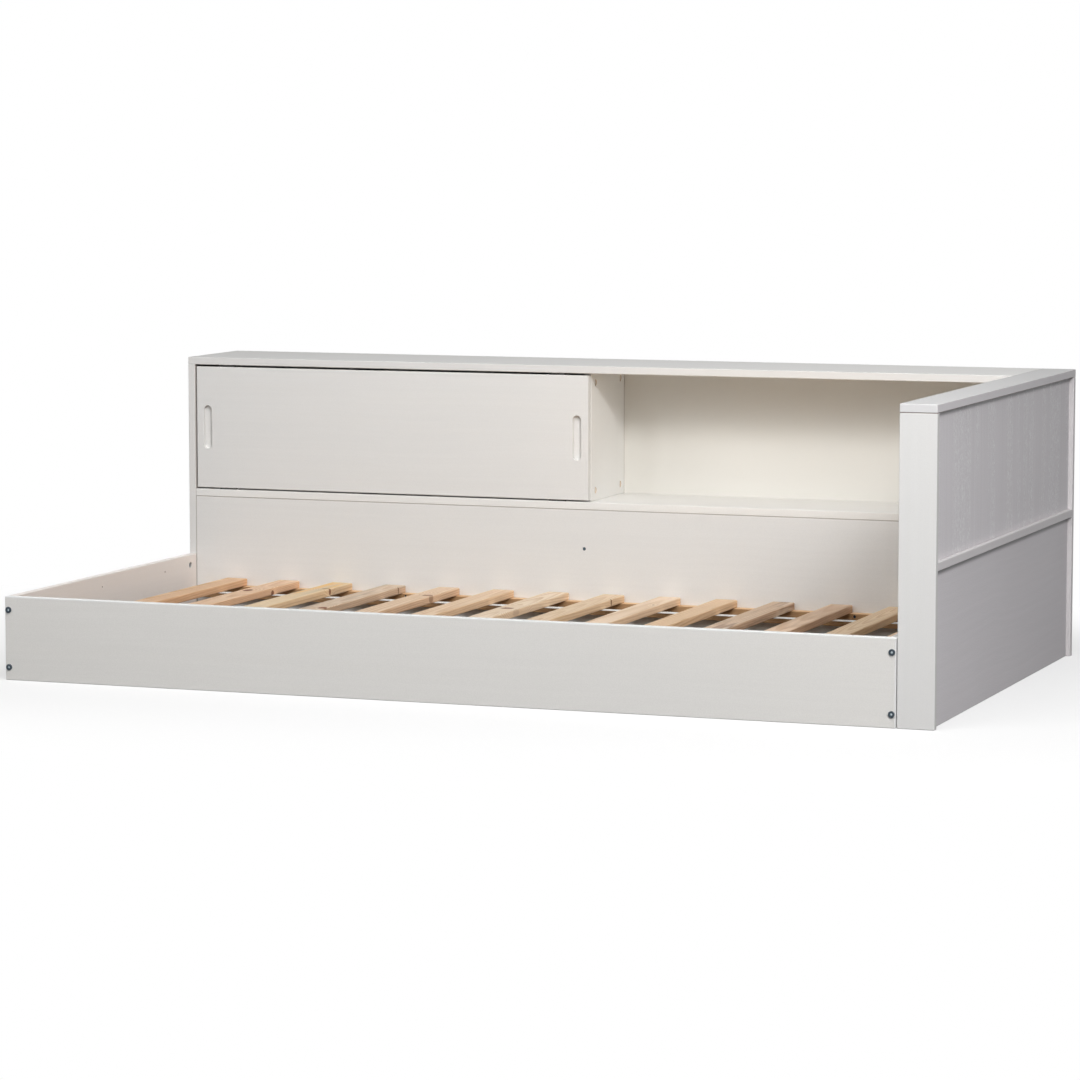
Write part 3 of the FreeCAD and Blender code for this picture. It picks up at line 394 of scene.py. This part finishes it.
def bolt_zinc(name, node, radius, ring, socket):
    """Blackened bolt heads with a painted highlight in the socket, at the four corners of the
    node's box.
    """
    finish = Finish(name)
    low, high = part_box(node)
    middle, reach = (low + high) / 2, (high - low) / 2
    away = finish.vector_math("ABSOLUTE", finish.vector_math("SUBTRACT", finish.place, middle))
    away = finish.vector_math("SUBTRACT", away, (reach.x - radius, 0.0, reach.z - radius))
    far = finish.vector_math("LENGTH", finish.vector_math("MULTIPLY", away, (1, 0, 1)))
    bloom = finish.noise(finish.place, 900.0, 3.0)
    # Painted highlight: the socket is pale.
    colour = finish.mix(finish.spread(far, 0.0018, 0.0028), rgb(*socket), rgb(*ring))
    colour = finish.mix(finish.spread(bloom, 0.3, 0.7, 0.0, 0.25), colour, rgb(40, 46, 50))
    rough = finish.math("MULTIPLY_ADD", bloom, 0.2, 0.3)
    finish.bump(bloom, 0.00002)
    return finish.surface(colour, rough, Metallic=0.7)


def nylon(name, tone):
    """Moulded plastic with a fine texture."""
    finish = Finish(name)
    skin = finish.noise(finish.place, 1500.0, 2.0)
    body = rgb(*tone)
    colour = finish.mix(skin, toned(body, 0.94), body)
    finish.bump(skin, 0.00003)
    return finish.surface(colour, finish.math("MULTIPLY_ADD", skin, 0.15, 0.42))


def webbing(name, tone):
    """Plain-woven white tape: ribs across and yarns along."""
    finish = Finish(name)
    parts = finish.split(finish.place)
    turns = 2 * math.pi
    weft = finish.math("SINE", finish.math("MULTIPLY", parts[ALONG_BED], turns / WEFT_PITCH))
    warp = finish.math("SINE", finish.math("MULTIPLY", parts[ACROSS_BED], turns / WARP_PITCH))
    weave = finish.math("MULTIPLY", weft, warp)
    body = rgb(*tone)
    colour = finish.mix(finish.spread(weave, -1.0, 1.0), toned(body, 0.86), body)
    finish.bump(weave, 0.00012)
    return finish.surface(colour, 0.85, Sheen_Weight=0.2)


def dress(node, material):
    """Give a CAD node its finish."""
    mesh = NODES[node].data
    mesh.materials.clear()
    mesh.materials.append(material)


def dress_boards():
    """White paint on every board, with the grain along each board's length."""
    grain = {
        ALONG_BED: ("front_rail", "cabinet_top", "cabinet_shelf", "lower_panel", "sliding_door"),
        ACROSS_BED: ("foot_rail", "head_rail", "head_cap", "head_mid_rail", "head_bottom_rail",
                     "head_lower_panel"),
        UPRIGHT: ("cabinet_left_panel", "cabinet_right_panel", "cabinet_divider",
                  "centre_support", "head_front_post", "head_rear_post", "head_inner_panel",
                  "head_upper_panel"),
    }
    panel_low, panel_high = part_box("lower_panel")
    divider_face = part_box("cabinet_divider")[1].x
    foot_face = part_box("foot_rail")[1].x
    post_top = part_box("head_front_post")[1].z
    rail_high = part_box("front_rail")[1]
    cap_low, cap_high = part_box("head_cap")
    mid_rail_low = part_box("head_mid_rail")[0].z
    top_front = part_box("cabinet_top")[0].y
    # Joint lines of dust and painted shade.
    shelf_joint = (UPRIGHT, panel_high.z, 0.0014, 0.6, DUST_AND_SHADE)
    post_joint = (UPRIGHT, post_top, 0.0016, 0.8, DUST_AND_SHADE)
    special = {
        # Painted highlights along the front rail's top edge and right-hand end.
        "front_rail": {
            "white": (230, 228, 224), "flecks": (500.0, 0.05),
            "seams": [(UPRIGHT, rail_high.z, 0.0045, 0.8, PAINTED_EDGE_HIGHLIGHT),
                      (ALONG_BED, rail_high.x, 0.004, 0.8, PAINTED_EDGE_HIGHLIGHT)]},
        # The outer panels: whites tinted and toned for the light on this side, painted light and
        # shade, and a painted shadow under the cap and the mid rail.
        "head_upper_panel": {
            "white": (236, 232, 235), "relief": 0.0002, "streak": 0.055, "brushed": 0.5,
            "flecks": COARSE_FLECKS,
            "seams": [(UPRIGHT, cap_low.z, 0.013, 0.35, PAINTED_SHADOW_UNDER_OVERHANG)]},
        "head_lower_panel": {
            "white": (232, 228, 231), "streak": 0.035, "flecks": COARSE_FLECKS,
            "seams": [(UPRIGHT, mid_rail_low, 0.016, 0.55, PAINTED_SHADOW_UNDER_OVERHANG)]},
        # Painted shade on the front edge of the cabinet top.
        "cabinet_top": {"seams": [(ACROSS_BED, top_front, 0.0025, 1.0, (223, 222, 220))]},
        # Painted shade: the mid rail and the rear post take the shaded white.
        "head_mid_rail": {"white": PAINTED_SHADE_WHITE},
        "head_rear_post": {"white": PAINTED_SHADE_WHITE},
        "lower_panel": {
            "seams": [shelf_joint, (ALONG_BED, panel_low.x, 0.0024, 0.6, DUST_AND_SHADE)]},
        "cabinet_shelf": {"white": (236, 235, 232), "seams": [shelf_joint]},
        # The front post's white is darker: painted shade.
        "head_front_post": {"white": (225, 224, 222), "streak": 0.012, "seams": [post_joint]},
        # The cap: painted shade in its darker white, on its flat top and on its front end face.
        "head_cap": {
            "white": (229, 225, 227), "top": (cap_high.z, (0.735, 0.76, 0.745, 1.0)),
            "seams": [(ACROSS_BED, cap_low.y, 0.002, 1.0, (217, 216, 216)), post_joint]},
        "cabinet_left_panel": {"seams": [(ALONG_BED, panel_low.x, 0.0012, 0.4, DUST_AND_SHADE)]},
        # The divider's white is brighter: painted light.
        "cabinet_divider": {
            "white": (238, 237, 234),
            "bores": (divider_face, DIVIDER_BORE_RADIUS, DIVIDER_BORES, BARE_WOOD)},
        # The foot rail: dust and painted shade at its joint, and painted shade in its pilot holes.
        "foot_rail": {
            "white": (236, 229, 224),
            "seams": [(ACROSS_BED, panel_low.y, 0.0026, 0.6, DUST_AND_SHADE)],
            "bores": (foot_face, RAIL_BORE_RADIUS, RAIL_BORES, BARE_WOOD_IN_SHADE)},
    }
    number = 0
    for axis, boards in grain.items():
        for board in boards:
            number += 1
            looks = special.get(board, {})
            dress(board, painted_board(f"paint_{board}", axis, 3.1 * number, **looks))
    # Dust and painted shade along the niche's corner at the divider.
    divider_joint = (ALONG_BED, divider_face, 0.0014, 0.35, DUST_AND_SHADE)
    dress("cabinet_back_panel",
          smooth_board("cream_back_board", (231, 229, 223), [divider_joint]))


def dress_slats():
    """Each slat is its own piece of pine, from reddish to yellow and grey, with its own knots."""
    tones = [(232, 196, 161), (238, 205, 174), (239, 216, 182), (220, 199, 177), (233, 207, 180),
             (235, 208, 179), (239, 219, 195), (230, 206, 177), (239, 215, 190), (231, 202, 170),
             (214, 191, 168), (228, 201, 176), (231, 207, 177), (231, 205, 176)]
    # Knots by slat: centre, reach, how many rings flow round it, and the strength of its heart.
    knots = {
        2: [((-0.802, 0.105, 0.132), (0.011, 0.019, 0.006), 5.0, 1.0),
            ((-0.769, 0.171, 0.119), (0.006, 0.009, 0.007), 2.0, 0.9)],
        3: [((-0.640, 0.196, 0.132), (0.012, 0.006, 0.003), 2.0, 0.9),
            ((-0.630, 0.194, 0.126), (0.003, 0.007, 0.009), 1.0, 0.9)],
        4: [((-0.500, -0.147, 0.133), (0.010, 0.017, 0.009), 3.0, 1.0),
            ((-0.4915, 0.283, 0.127), (0.003, 0.003, 0.013), 0.5, 0.85)],
        5: [((-0.366, 0.159, 0.132), (0.014, 0.012, 0.003), 4.0, 0.75),
            ((-0.353, 0.149, 0.126), (0.004, 0.014, 0.011), 1.5, 0.5)],
        7: [((-0.103, -0.006, 0.132), (0.017, 0.014, 0.004), 6.0, 0.85),
            ((-0.077, -0.020, 0.124), (0.004, 0.022, 0.010), 5.0, 0.2)],
        8: [((0.0625, 0.236, 0.127), (0.003, 0.004, 0.013), 0.5, 0.95)],
        9: [((0.189, 0.168, 0.132), (0.003, 0.006, 0.003), 1.5, 0.8),
            ((0.165, -0.235, 0.133), (0.006, 0.014, 0.004), 2.0, 0.6)],
    }
    # Stains by slat: tone, strength, start of the pattern, and the level at which it begins.
    brown, yellow, dull = (188, 158, 132), (238, 190, 112), (196, 180, 158)
    stains = {
        3: [(dull, 0.5, 9.0, 0.5), (yellow, 0.8, 4.0, 0.55)],
        4: [((186, 168, 150), 0.6, 2.0, 0.5)],
        11: [((160, 134, 116), 0.85, 6.0, 0.47), ((236, 222, 202), 0.8, 3.0, 0.54)],
        12: [(brown, 0.5, 5.0, 0.5)],
        13: [(brown, 0.35, 8.0, 0.5)],
    }
    # Pith and lean of the slats whose arched figure shows.
    logs = {
        7: ((0.004, -0.012), (0.0, 0.035)),
        8: ((0.0, -0.016), (0.01, 0.03)),
        13: ((0.006, -0.014), (0.0, -0.04)),
    }
    # Slats whose side faces get painted light.
    slats_with_painted_light_sides = (6, 7, 8, 9, 10, 13)
    chance = random.Random(7)
    for number, slat in enumerate(SLATS, 1):
        early = tones[number - 1]
        late = tuple(round(value * share) for value, share in zip(early, (0.9, 0.845, 0.78)))
        pith = (chance.uniform(-0.05, 0.05), -chance.uniform(0.03, 0.09))
        lean = (chance.uniform(-0.012, 0.012),
                chance.choice((-1, 1)) * chance.uniform(0.008, 0.03))
        ring = chance.uniform(0.0035, 0.0065)
        pith, lean = logs.get(number, (pith, lean))
        side_tint = PAINTED_LIGHT_SIDES if number in slats_with_painted_light_sides else RED_EDGE
        dress(slat, pine(slat, ACROSS_BED, early, late, ring, pith, lean,
                         knots.get(number, ()), stains.get(number, ()), side_tint))
    # The ledgers' front and back faces are darker: painted shade.
    for ledger, pith_across in (("front_ledger", 0.03), ("rear_ledger", -0.02)):
        dress(ledger, pine(ledger, ALONG_BED, (232, 198, 158), (212, 168, 124), 0.004,
                           (pith_across, -0.03), (0.0, 0.01), side_tint=SHADED_EDGE))


def dress_fittings():
    """Zinc on the metal fittings, raw wood on the dowels, and plastic on the glides and caps."""
    plate = zinc("zinc_plate", (100, 116, 128))
    for node in ZINC_NODES:
        dress(node, plate)
    dress("front_bolts",
          bolt_zinc("bolt_zinc", "front_bolts", 0.007, (66, 76, 84), (214, 226, 232)))
    for node in ("panel_dowels", "head_dowels"):
        dress(node, pine(node, UPRIGHT, (206, 172, 134), (186, 148, 110)))
    # The glides and guides are dark so that they pass for the shade in the gaps at the door:
    # painted shade.
    slider = nylon("dark_nylon", (46, 44, 42))
    for node in ("door_glides", "door_guides"):
        dress(node, slider)
    dress("cam_caps", nylon("white_cap", (222, 218, 210)))


def place_mesh(name, mesh):
    """Turn a finished bmesh into an object of the scene."""
    data = bpy.data.meshes.new(name)
    mesh.to_mesh(data)
    mesh.free()
    piece = bpy.data.objects.new(name, data)
    bpy.context.scene.collection.objects.link(piece)
    return piece


def tape(node):
    """Webbing tape under the slats: thin, with rounded selvedges."""
    low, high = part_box(node)
    mesh = bmesh.new()
    bmesh.ops.create_cube(mesh, size=1.0)
    bmesh.ops.scale(mesh, vec=high - low, verts=mesh.verts)
    bmesh.ops.translate(mesh, vec=(low + high) / 2, verts=mesh.verts)
    sides = [edge for edge in mesh.edges
             if abs(edge.verts[0].co.x - edge.verts[1].co.x) > 0.5]
    bmesh.ops.bevel(mesh, geom=sides, offset=SELVEDGE_RADIUS, segments=3, profile=0.5,
                    affect="EDGES", material=-1)
    piece = place_mesh(f"{node}_webbing", mesh)
    piece.data.materials.append(webbing(f"weave_{node}", (232, 232, 230)))
    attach(piece, "bed")
    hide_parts(node)


def middle_of(node):
    low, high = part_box(node)
    return (low + high) / 2


def floor():
    """Pale studio floor that keeps the bed's shadow and fades to white further out."""
    mesh = bmesh.new()
    bmesh.ops.create_grid(mesh, x_segments=1, y_segments=1, size=FLOOR_HALF)
    piece = place_mesh("studio_floor", mesh)
    finish = Finish("pale_floor")
    path = finish.tree.nodes.new("ShaderNodeLightPath").outputs
    seen = finish.math("MAXIMUM", path["Is Camera Ray"], path["Is Glossy Ray"])
    seen = finish.math("MAXIMUM", seen, path["Is Transmission Ray"])
    grain = finish.noise(finish.place, 60.0, 2.0)
    pale = finish.mix(grain, rgb(244, 244, 244), rgb(248, 248, 248))
    # The floor is grey to the light that it throws back, and its dark patch in the space below the
    # slats is painted shade.
    colour = finish.mix(seen, rgb(108, 108, 111), pale)
    left, right = middle_of("foot_rail").x, middle_of("head_rail").x
    front, rear = middle_of("front_rail").y, middle_of("lower_panel").y
    centred = finish.shift(finish.place, (-(left + right) / 2, -(front + rear) / 2, 0.0))
    side = finish.split(finish.vector_math("ABSOLUTE", centred))
    half_long, half_wide = (right - left) / 2, (rear - front) / 2
    below = finish.math("MULTIPLY",
                        finish.spread(side[0], half_long - 0.004, half_long + 0.004, 1.0, 0.0),
                        finish.spread(side[1], half_wide - 0.004, half_wide + 0.004, 1.0, 0.0))
    # Painted shade on the floor below the slats.
    colour = finish.mix(below, colour, rgb(122, 112, 102))
    finish.surface(colour, 0.9, Specular_IOR_Level=0.1)
    white = finish.tree.nodes.new("ShaderNodeEmission")
    outside = finish.vector_math("ABSOLUTE", finish.place)
    outside = finish.vector_math("SUBTRACT", outside, SHADOW_EDGE)
    away = finish.vector_math("LENGTH", finish.vector_math("MAXIMUM", outside))
    share = finish.math("MULTIPLY", seen, finish.spread(away, 0.0, SHADOW_FADE, 0.6, 1.0))
    share = finish.math("MULTIPLY", share, finish.math("SUBTRACT", 1.0, below))
    blend = finish.tree.nodes.new("ShaderNodeMixShader")
    finish.link(share, blend.inputs["Fac"])
    finish.link(finish.shader.outputs["BSDF"], blend.inputs[1])
    finish.link(white.outputs["Emission"], blend.inputs[2])
    finish.link(blend.outputs["Shader"], finish.output.inputs["Surface"])
    piece.data.materials.append(finish.material)


def softbox(name, place, aim, size, power, tint):
    """A rectangular lamp that the camera doesn't see."""
    light = bpy.data.lights.new(name, "AREA")
    light.shape = "RECTANGLE"
    light.size, light.size_y = size
    light.energy = power
    light.color = tint
    lamp = bpy.data.objects.new(name, light)
    lamp.location = place
    lamp.rotation_euler = (Vector(aim) - Vector(place)).to_track_quat("-Z", "Y").to_euler()
    lamp.visible_camera = False
    bpy.context.scene.collection.objects.link(lamp)


def studio():
    """Soft boxes in front, above and low behind, a small warm lamp under the niche, and a
    surround that is white to the camera and in reflections but lights nothing."""
    for lamp in LAMPS:
        softbox(*lamp)
    world = bpy.data.worlds.new("white_surround")
    bpy.context.scene.world = world
    world.use_nodes = True
    tree = world.node_tree
    tree.nodes.clear()
    output = tree.nodes.new("ShaderNodeOutputWorld")
    unseen = tree.nodes.new("ShaderNodeBackground")
    seen = tree.nodes.new("ShaderNodeBackground")
    blend = tree.nodes.new("ShaderNodeMixShader")
    path = tree.nodes.new("ShaderNodeLightPath")
    glossy = tree.nodes.new("ShaderNodeMath")
    either = tree.nodes.new("ShaderNodeMath")
    glossy.operation = either.operation = "MAXIMUM"
    for background, strength in ((unseen, 0.0), (seen, 1.0)):
        background.inputs["Strength"].default_value = strength
        background.inputs["Color"].default_value = (1.0, 1.0, 1.0, 1.0)
    tree.links.new(path.outputs["Is Camera Ray"], glossy.inputs[0])
    tree.links.new(path.outputs["Is Glossy Ray"], glossy.inputs[1])
    tree.links.new(glossy.outputs["Value"], either.inputs[0])
    tree.links.new(path.outputs["Is Transmission Ray"], either.inputs[1])
    tree.links.new(either.outputs["Value"], blend.inputs["Fac"])
    tree.links.new(unseen.outputs["Background"], blend.inputs[1])
    tree.links.new(seen.outputs["Background"], blend.inputs[2])
    tree.links.new(blend.outputs["Shader"], output.inputs["Surface"])


def camera():
    """Camera at the photograph's place, right of the bed's front."""
    data = bpy.data.cameras.new("photo_camera")
    data.sensor_width = SENSOR_MM
    data.lens = LENS_MM
    data.clip_end = CAMERA_REACH
    thing = bpy.data.objects.new("photo_camera", data)
    thing.location = CAMERA_PLACE
    thing.rotation_euler = (math.radians(CAMERA_TILT), 0.0, math.radians(CAMERA_TURN))
    bpy.context.scene.collection.objects.link(thing)
    bpy.context.scene.camera = thing


dress_boards()
dress_slats()
dress_fittings()
for tape_node in ("front_tape", "rear_tape"):
    tape(tape_node)
floor()
studio()
camera()
bpy.context.scene.view_settings.view_transform = "Standard"
